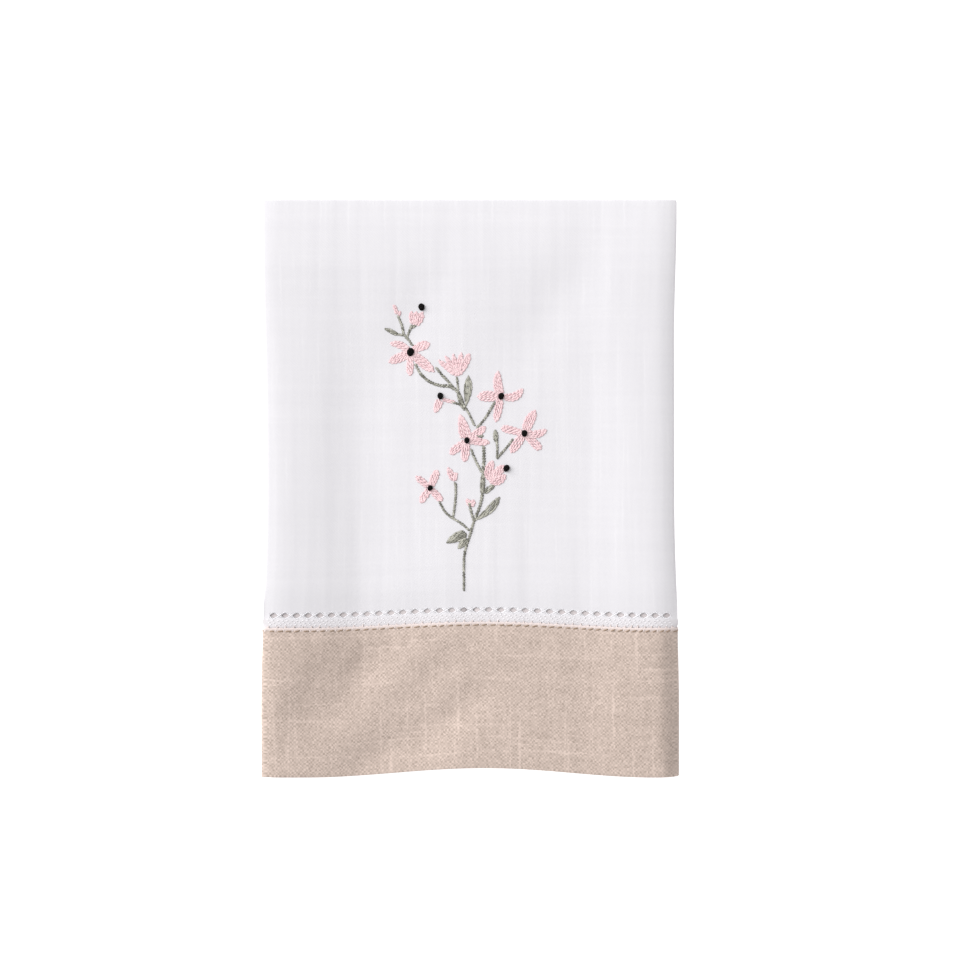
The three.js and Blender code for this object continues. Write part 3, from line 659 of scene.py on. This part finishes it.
def hole_rim(share):
    """Half the height of a hole at a share of its half width, from -1 to 1: a lens, 1 - |share| to the power
    1.6, with narrow ends."""
    return sizes().hole_height / MM / 2 * np.maximum(0.12, 1 - np.minimum(np.abs(share), 1) ** 1.6)


class TOWEL_OT_white_linen(bpy.types.Operator):
    """Weave and fold the white linen cloth, with its drawn-thread row cut open"""

    bl_idname = "towel.white_linen"
    bl_label = "White Linen"

    def execute(self, context):
        ply = sizes().ply / MM
        half_w = sizes().hole_width / MM / 2
        half_h = sizes().hole_height / MM / 2
        places = hole_places()
        between = (places[1:] + places[:-1]) / 2
        shares = np.linspace(-1, 1, 5)
        by_holes = np.concatenate([(places[:, None] + shares * half_w).ravel(), between])
        # Close columns round the side folds, and wide ones on the turned sides
        fold = np.arange(85.6, 91.2, 0.27)
        turned = np.linspace(91.5, CLOTH_WIDTH / 2, 22)
        u = np.unique(np.round(np.concatenate([by_holes, fold, -fold, turned, -turned]), 1))
        row = DRAWN_ROW_Y
        v = np.concatenate([
            [SEAM_Y - 2.2, SEAM_Y - 1.2, SEAM_Y - 0.4],
            np.linspace(SEAM_Y + SEAM_GAP, row - 2.2, 5),
            [row - half_h - 0.4, row - half_h, row, row + half_h, row + half_h + 0.4],
            np.linspace(row + 2.2, TOP_FOLD_Y, 64),
            TOP_FOLD_Y + np.linspace(0, TOP_TURN, 14)[1:],
            np.linspace(TOP_FOLD_Y + TOP_TURN, WHITE_END, 24)[1:],
        ])
        uu, vv = np.meshgrid(u, v)
        middle = int(np.argmin(np.abs(v - row)))
        # The lines of points above and below the row's middle follow each hole's rim
        nearest = places[np.argmin(np.abs(u[:, None] - places), axis=1)]
        share = (u - nearest) / half_w
        for step in (-1, 1):
            at_hole = np.abs(share) < 1.04
            vv[middle + step, at_hole] = row + step * hole_rim(share[at_hole])
        keep = np.ones((len(v) - 1, len(u) - 1), dtype=bool)
        cell_u = (u[1:] + u[:-1]) / 2
        open_cell = np.min(np.abs(cell_u[:, None] - places), axis=1) < half_w
        keep[middle - 1 : middle + 1, open_cell] = False
        # The cloth is thinnest where its threads are drawn, the hem strip below is doubled, its lower edge is
        # pressed thin where the band holds it, and the hidden end has a narrow hem
        thin = 1 - 0.4 * bump(row, 3.0, vv) - 0.5 * ease(SEAM_Y + 0.6, SEAM_Y - 0.4, vv)
        above_seam = ease(SEAM_Y - 0.4, SEAM_Y + 0.6, vv)
        doubled = 0.5 * ease(row - half_h - 0.2, row - half_h - 1.0, vv) * above_seam
        end_hem = 0.5 * ease(WHITE_END - 13, WHITE_END - 12, vv)
        outer = lay(uu, vv, 0.5 * ply * (thin + doubled))
        inner = lay(uu, vv, -0.5 * ply * (thin + end_hem))
        points, faces, flat = cloth_sheet(outer, inner, pairs(uu, vv) * MM, keep)
        # Painted reflection: the hem strip is painted a warmer, deeper tone for the light the band throws
        # onto it
        flat_u, flat_v = np.abs(flat[:, 0]) / MM, flat[:, 1] / MM
        painted_strip_reflection = 0.22 * ease(row - 1.2, row - 2.0, flat_v) * (flat_u < 90)
        # Painted shade: the turned sides are a tone deeper where they show through the holes, for the shade
        # they lie in
        painted_hole_shade = 0.75 * bump(row, 5.0, flat_v) * ease(88, 91, flat_u)
        # Bleached linen, plain-woven from wet-spun yarn: crisp and matt, a fine and faintly streaky white.
        # Its edge tone is the painted reflection and painted shade mixed in above
        material = linen("bleached linen, plain weave", colours().white, "C8C6CA", 0.0006, 0.00003, weave=0.1,
                         grain=0.12, cloudy=0.22, slubby=0.16, crosswise=0.4, edge="BDB3B2")
        new_piece("white_linen", points, faces, material, flat, painted_strip_reflection + painted_hole_shade,
                  "white_body")
        return {"FINISHED"}


class TOWEL_OT_border_band(bpy.types.Operator):
    """Fold the doubled border band of natural linen round the lower edge"""

    bl_idname = "towel.border_band"
    bl_label = "Border Band"

    def execute(self, context):
        end = BAND_END
        w = np.concatenate([
            np.linspace(0, BAND_RUN, 16),
            BAND_RUN + np.linspace(0, BAND_TURN, 10)[1:],
            np.linspace(BAND_RUN + BAND_TURN, end - 2.6, 34)[1:],
            end - np.array([2.2, 1.9, 1.6, 1.3, 1.0, 0.7, 0.4, 0.2, 0.0]),
        ])
        fold = np.arange(85.0, 91.0, 0.33)
        turned = np.linspace(91.5, CLOTH_WIDTH / 2, 16)
        u = np.unique(np.concatenate([np.linspace(-84.6, 84.6, 189), fold, -fold, turned, -turned]))
        uu, ww = np.meshgrid(u, w)
        # The upper edge is rolled under and whipped down, so it waves, swells and narrows with the stitches
        wave, wave_length, roll = 0.22, 2.6, 0.1
        ww = ww + wave * ease(end - 1, end, ww) * np.cos(2 * np.pi * uu / wave_length)
        rolled = bump(end - 0.5, 0.8, ww) * (1 + 0.3 * np.cos(2 * np.pi * uu / SEAM_PITCH["left"]))
        outer = lay_band(uu, ww, 0.5 * BAND_PLY + roll * rolled)
        inner = lay_band(uu, ww, -0.5 * BAND_PLY)
        keep = np.ones((len(w) - 1, len(u) - 1), dtype=bool)
        points, faces, flat = cloth_sheet(outer, inner, pairs(uu, ww) * MM, keep)
        # Unbleached linen, a coarser plain weave: flax grey-brown with paler crossings, slubby and matt. Its
        # real threads lie about 0.6 mm apart; 0.86 mm is the finest that still shows as crossings.
        material = linen("unbleached linen, plain weave", colours().natural, "9D8E84", 0.00086, 0.00008,
                         weave=0.34, grain=0.4, cloudy=0.1, slubby=0.33, crosswise=0.8, edge="D5C8C5")
        pale = 0.95 * ease(end - 1.7, end - 0.3, flat[:, 1] / MM)
        new_piece("border_linen", points, faces, material, flat, pale, "border_band")
        return {"FINISHED"}


class TOWEL_OT_sewing(bpy.types.Operator):
    """Sew the hemstitching round the drawn-thread row and the stitches along the band's upper edge"""

    bl_idname = "towel.sewing"
    bl_label = "Hemstitching and Seam"

    def execute(self, context):
        half_w = sizes().hole_width / MM / 2
        half_h = sizes().hole_height / MM / 2
        top = sizes().ply / MM / 2
        places = hole_places()
        # Overcast stitches round each hole, fanned out from its rim
        share = np.linspace(-0.96, 0.96, 7)
        lean = np.radians(66) * share
        rim = pairs(share * half_w, hole_rim(share))
        spoke = pairs(np.sin(lean), np.cos(lean))
        rim = np.concatenate([rim, rim * [1, -1]]) * 1.02
        spoke = np.concatenate([spoke, spoke * [1, -1]])
        middle = pairs(places, DRAWN_ROW_Y)[:, None, :]
        starts = (middle + rim).reshape(-1, 2)
        spoke_length = 0.58
        ends = (middle + rim + spoke_length * spoke).reshape(-1, 2)
        overcast = len(starts)
        # Threads cross between neighbouring holes, from the top of one to the foot of the next and back
        caught = 0.8  # share of the half hole at which they are caught
        left = pairs(places[:-1] + half_w * caught, DRAWN_ROW_Y)
        right = pairs(places[1:] - half_w * caught, DRAWN_ROW_Y)
        up = np.array([0, half_h * caught])
        # Three staggered rows of pin stitches catch the doubled hem
        pins, stagger = np.arange(-86, 86, 2.1), 0.7
        pin_rows = np.concatenate([
            pairs(pins + stagger * k, DRAWN_ROW_Y - down) for k, down in enumerate((2.2, 3.1, 4.0))
        ])
        pin_rows = pin_rows + np.random.default_rng(8).uniform(-0.25, 0.25, pin_rows.shape)
        half_pin = [0.42, 0.15]
        starts = np.concatenate([starts, left + up, left - up, pin_rows - half_pin])
        ends = np.concatenate([ends, right - up, right + up, pin_rows + half_pin])
        at_hole = np.arange(len(starts)) < overcast
        wide, tall = np.where(at_hole, 0.42, 0.4), np.where(at_hole, 0.24, 0.25)
        on_hem = lambda v: 0.2 * ease(DRAWN_ROW_Y - 1.2, DRAWN_ROW_Y - 2.0, v)
        place = lambda u, v, out: lay(u, v, top * 0.75 - 0.08 + on_hem(v) + out)
        # Bleached cotton sewing thread, mercerised: whiter and smoother than linen, a bright rim to each hole
        white_thread = floss("bleached cotton thread, mercerised", "E6E4E7", "D6D4D8", roughness=0.55)
        stitched("hemstitching", starts, ends, wide, tall, place, 3, white_thread, rings=5)

        # Dashes along the seam, a little closer and steeper towards the right
        x = np.linspace(-89, 89, 400)
        pitch = mixed(SEAM_PITCH["left"], SEAM_PITCH["right"], ease(20, 75, x))
        passed = np.cumsum((x[1] - x[0]) / pitch)
        middle = np.interp(np.arange(1, int(passed[-1]) + 1) - 0.5, passed, x)
        draw = np.random.default_rng(11)
        middle = middle + draw.uniform(-0.2, 0.2, len(middle))
        half = draw.uniform(0.27, 0.36, len(middle)) * np.interp(middle, x, pitch)
        tilt = draw.uniform(0.05, 0.35, len(middle)) + 0.25 * ease(30, 80, middle)
        line = BAND_END - SEAM_DROP
        starts = pairs(middle - half, line - tilt)
        ends = pairs(middle + half, line + tilt)
        place = lambda u, w, out: lay_band(u, w, BAND_PLY / 2 - 0.1 + out)
        # Flax sewing thread, two-ply: darker than the band, so the seam reads as a row of small brown dashes
        flax = floss("flax sewing thread, two-ply", "A18C7A", "7E6A5A", roughness=0.75)
        width, height = 0.62, 0.4
        stitched("seam_stitches", starts, ends, width, height, place, 5, flax)
        # Pale whip stitches between the dashes, slanting up over the band's edge into the white
        between = (middle[1:] + middle[:-1]) / 2 + draw.uniform(-0.2, 0.2, len(middle) - 1)
        starts = pairs(between - 0.5, line - 0.3)
        ends = pairs(between + 0.55, BAND_END + draw.uniform(0.5, 1.2, len(between)))
        dip = lambda w: 0.5 * ease(BAND_END - 0.3, BAND_END + 0.8, w)
        place = lambda u, w, out: lay_band(u, w, BAND_PLY / 2 - 0.12 - dip(w) + out)
        # Cotton sewing thread in pale rose: hardly darker than the white, it blurs the band's edge
        rose_thread = floss("cotton sewing thread, pale rose", "D8CBC8", "C8BAB6")
        width, height = 0.6, 0.22
        stitched("whip_stitches", starts, ends, width, height, place, 6, rose_thread)
        return {"FINISHED"}


def lobe_rows(base, tip, width, bow, broad, foot, thread, round_off=0.8):
    """Rows of stitches that fill a petal or leaf. At a share t of the way from base to tip its fullness is
    the sine of pi t^k to the power round_off, with k such that it is fullest at broad; before that it is at
    least foot. A row keeps to one share of the half width, and the outer rows stop short of both ends."""
    base = np.array(base, dtype=float)
    axis = np.array(tip, dtype=float) - base
    aside = np.array([-axis[1], axis[0]]) / np.linalg.norm(axis)
    count = max(1, int(round(width / thread)))
    half_width = max(width - thread, 0) / 2
    rows = []
    for share in np.linspace(-1, 1, count) if count > 1 else [0.0]:
        t = np.linspace(0.02 + 0.1 * abs(share), 1.0 - 0.1 * abs(share), 24)[:, None]
        fullness = np.sin(np.pi * t ** (np.log(0.5) / np.log(broad))) ** round_off
        fullness = np.where(t < broad, foot + (1 - foot) * fullness, fullness)
        rows.append(base + axis * t + aside * (fullness * share * half_width + bow * np.sin(np.pi * t)))
    return rows


def embroidery(name, rows, material, seed, width, height, pitch, overlap, faintest):
    """A piece of embroidery from rows of stitches on the face, which stands for its CAD node. rows pairs each
    line with its slant."""
    draw = np.random.default_rng(seed)
    made = [stitch_row(SPRIG_FOOT + line, pitch, overlap, slant, draw, 0.5 * (k % 2))
            for k, (line, slant) in enumerate(rows)]
    starts, ends = (np.concatenate(side) for side in zip(*made))
    top = sizes().ply / MM / 2
    tall = height * draw.uniform(0.85, 1.15, len(starts))
    place = lambda x, y, out: on_face(x, y, top - 0.15 + out)
    stitched(name + "_stitches", starts, ends, width, tall, place, seed, material, sides=8,
             faintest=faintest, stands_for=name)


class TOWEL_OT_greenery(bpy.types.Operator):
    """Embroider the stems and leaves in stem stitch"""

    bl_idname = "towel.greenery"
    bl_label = "Stems and Leaves"

    def execute(self, context):
        # Stranded cotton in a grey sage, mercerised: soft satin sheen, with painted shade in the darker dips
        # between stitches
        sage = floss("stranded cotton, sage", colours().sage, "3E3D34")
        thread, stem_height, leaf_height = 0.8, 0.6, 0.5
        for k, (name, branches) in enumerate(STEMS.items()):
            rows = [(smooth_curve(points), np.maximum(0.12, (np.array(wide) - thread) / 2))
                    for wide, points in branches]
            for start, end, width in SPINDLES.get(name, []):
                rows += [(line, 0.2) for line in lobe_rows(start, end, width, 0, 0.5, 0, thread)]
            embroidery(name, rows, sage, 20 + k, thread, stem_height, pitch=1.15, overlap=1.4,
                       faintest=0.2)
        for k, (name, stalk, tip, width, bow, broad, foot) in enumerate(LEAVES):
            rows = lobe_rows(stalk, tip, width, bow, broad, foot, thread, round_off=1.1)
            embroidery(name, [(line, 0.1) for line in rows], sage, 40 + k, thread, leaf_height,
                       pitch=2.9, overlap=1.15, faintest=0.3)
        return {"FINISHED"}


class TOWEL_OT_blossoms(bpy.types.Operator):
    """Embroider the open blossoms and buds, petal by petal"""

    bl_idname = "towel.blossoms"
    bl_label = "Blossoms and Buds"

    def execute(self, context):
        # Stranded cotton in pale pink, mercerised, with painted shade: light on the crown of each stitch and
        # rosy in the dips
        pink = floss("stranded cotton, pale pink", colours().pink, "C79FA5")
        thread, height, foot = sizes().floss_width / MM, 0.5, 0.62
        for k, (name, middle, petals) in enumerate(BLOSSOMS):
            rows = []
            for degrees, reach, width, bow, broad in petals:
                heading = pairs(np.cos(np.radians(degrees)), np.sin(np.radians(degrees)))
                rows += lobe_rows(middle, middle + reach * heading, width, bow, broad, foot, thread)
            embroidery(name, [(line, 0.28) for line in rows], pink, 60 + k, thread, height,
                       pitch=1.8, overlap=1.2, faintest=0.6)
        return {"FINISHED"}


class TOWEL_OT_knots(bpy.types.Operator):
    """Wind the black French knots"""

    bl_idname = "towel.knots"
    bl_label = "French Knots"

    def execute(self, context):
        # Stranded cotton in black, wound three times round the needle: hardly any light comes back from it
        black = floss("stranded cotton, black", colours().black, "040303", roughness=0.8, gloss=0.12)
        for name, at, breadth, degrees, lift in KNOTS:
            coil, faces, flat = knot_coil(breadth)
            tilt = np.radians(degrees)
            long_way = coil[:, 1] * KNOT["stretch"]
            x = SPRIG_FOOT[0] + at[0] + coil[:, 0] * np.cos(tilt) + long_way * np.sin(tilt)
            y = SPRIG_FOOT[1] + at[1] - coil[:, 0] * np.sin(tilt) + long_way * np.cos(tilt)
            points = on_face(x, y, sizes().ply / MM / 2 + lift + coil[:, 2])
            new_piece(name + "_coil", points, faces, black, flat, np.full(len(points), 0.5),
                      name)
        return {"FINISHED"}


def knot_coil(breadth):
    """A French knot: a thread wound turns times round the needle, rising and drawing in as it goes, then over
    the top and down into the middle. A circle of the thread's width is carried along that path."""
    thread, turns, sides, steps = KNOT["thread"], KNOT["turns"], KNOT["sides"], KNOT["steps"]
    drawn_in, lift = 0.6, 0.7
    t = np.linspace(0, 1, steps)
    wound = 0.5 * (breadth - thread)
    radius = wound * (1 - drawn_in * t) * (1 - ease(0.86, 1.0, t))
    angle = 2 * np.pi * turns * t
    height = thread * 0.5 + lift * ease(0, 0.9, t)
    path = np.stack([radius * np.cos(angle), radius * np.sin(angle), height], axis=1)
    heading = np.gradient(path, axis=0)
    heading /= np.linalg.norm(heading, axis=1)[:, None]
    aside = np.cross(heading, [0, 0, 1])
    aside /= np.linalg.norm(aside, axis=1)[:, None]
    up = np.cross(aside, heading)
    ring = np.linspace(0, 2 * np.pi, sides, endpoint=False)[:, None]
    girth = 0.5 * thread * (1 - 0.35 * ease(0.93, 1.0, t))[:, None, None]
    points = path[:, None] + girth * (aside[:, None] * np.cos(ring) + up[:, None] * np.sin(ring))
    gone = (t * turns * np.pi * breadth * MM)[:, None]
    flat = pairs(ring[:, 0] / (2 * np.pi), gone)
    # Its rings go round the other way from a stitch's, so its faces do too
    faces = [face[::-1] for face in tube_faces(1, steps, sides)]
    return points.reshape(-1, 3), faces, flat.reshape(-1, 2)


class TOWEL_OT_stage(bpy.types.Operator):
    """Set the pale floor, the soft studio light and the camera straight above the face"""

    bl_idname = "towel.stage"
    bl_label = "Stage"

    def execute(self, context):
        scene = context.scene
        side = 4.0
        corners = [(-side, -side, 0), (side, -side, 0), (side, side, 0), (-side, side, 0)]
        mesh = bpy.data.meshes.new("towel_floor")
        mesh.from_pydata(corners, [], [(0, 1, 2, 3)])
        # Opal acrylic sheet, frosted and lit a little from below: it shows hardly any shadow round the towel
        floor_material, tree = new_material("opal acrylic, frosted")
        surface = node(tree, "ShaderNodeBsdfPrincipled", {
            "Base Color": srgb(colours().floor), "Roughness": 1.0, "Emission Color": (1.0, 1.0, 1.0, 1.0),
            "Emission Strength": 0.55,
        })
        node(tree, "ShaderNodeOutputMaterial", {"Surface": surface})
        mesh.materials.append(floor_material)
        put("towel_floor", mesh)

        world = bpy.data.worlds.new("soft white room")
        world.use_nodes = True
        glow = world.node_tree.nodes["Background"].inputs
        glow["Color"].default_value = (1.0, 1.0, 1.0, 1.0)
        glow["Strength"].default_value = 0.68
        scene.world = world
        # One large soft light, far off at the upper left, so that it falls evenly over the whole face
        window = bpy.data.lights.new("window_left", "SUN")
        window.energy = 3.9
        window.angle = 0.95
        lamp = put("window_left", window)
        lamp.location = (-1.49, 0.81, 1.06)
        lamp.rotation_euler = (-lamp.location).to_track_quat("-Z", "Y").to_euler()

        camera_data = bpy.data.cameras.new("camera")
        camera_data.lens = 90.0
        frame_width = 0.4147
        distance = frame_width * camera_data.lens / camera_data.sensor_width
        scene.camera = put("camera", camera_data)
        scene.camera.location = (0.0041, 0.0037, distance + FACE_AT_BAND * MM)
        scene.view_settings.view_transform = "Standard"
        return {"FINISHED"}


class TOWEL_PT_pieces(bpy.types.Panel):
    """Lists the towel's pieces, sizes and colours"""

    bl_label = "Folded Towel"
    bl_idname = "TOWEL_PT_pieces"
    bl_space_type = "VIEW_3D"
    bl_region_type = "UI"
    bl_category = "Towel"

    def draw(self, context):
        for group in (context.scene.towel_sizes, context.scene.towel_colours):
            for name in group.__annotations__:
                self.layout.prop(group, name)
        for operator in OPERATORS:
            self.layout.operator(operator.bl_idname)


OPERATORS = (
    TOWEL_OT_stage,
    TOWEL_OT_white_linen,
    TOWEL_OT_border_band,
    TOWEL_OT_sewing,
    TOWEL_OT_greenery,
    TOWEL_OT_blossoms,
    TOWEL_OT_knots,
)
CLASSES = (TowelSizes, TowelColours, *OPERATORS, TOWEL_PT_pieces)


def register():
    for each in CLASSES:
        bpy.utils.register_class(each)
    bpy.types.Scene.towel_sizes = bpy.props.PointerProperty(type=TowelSizes)
    bpy.types.Scene.towel_colours = bpy.props.PointerProperty(type=TowelColours)


def unregister():
    del bpy.types.Scene.towel_colours
    del bpy.types.Scene.towel_sizes
    for each in reversed(CLASSES):
        bpy.utils.unregister_class(each)


def main():
    register()
    for operator in OPERATORS:
        group, name = operator.bl_idname.split(".")
        getattr(getattr(bpy.ops, group), name)()


if __name__ == "__main__":
    main()
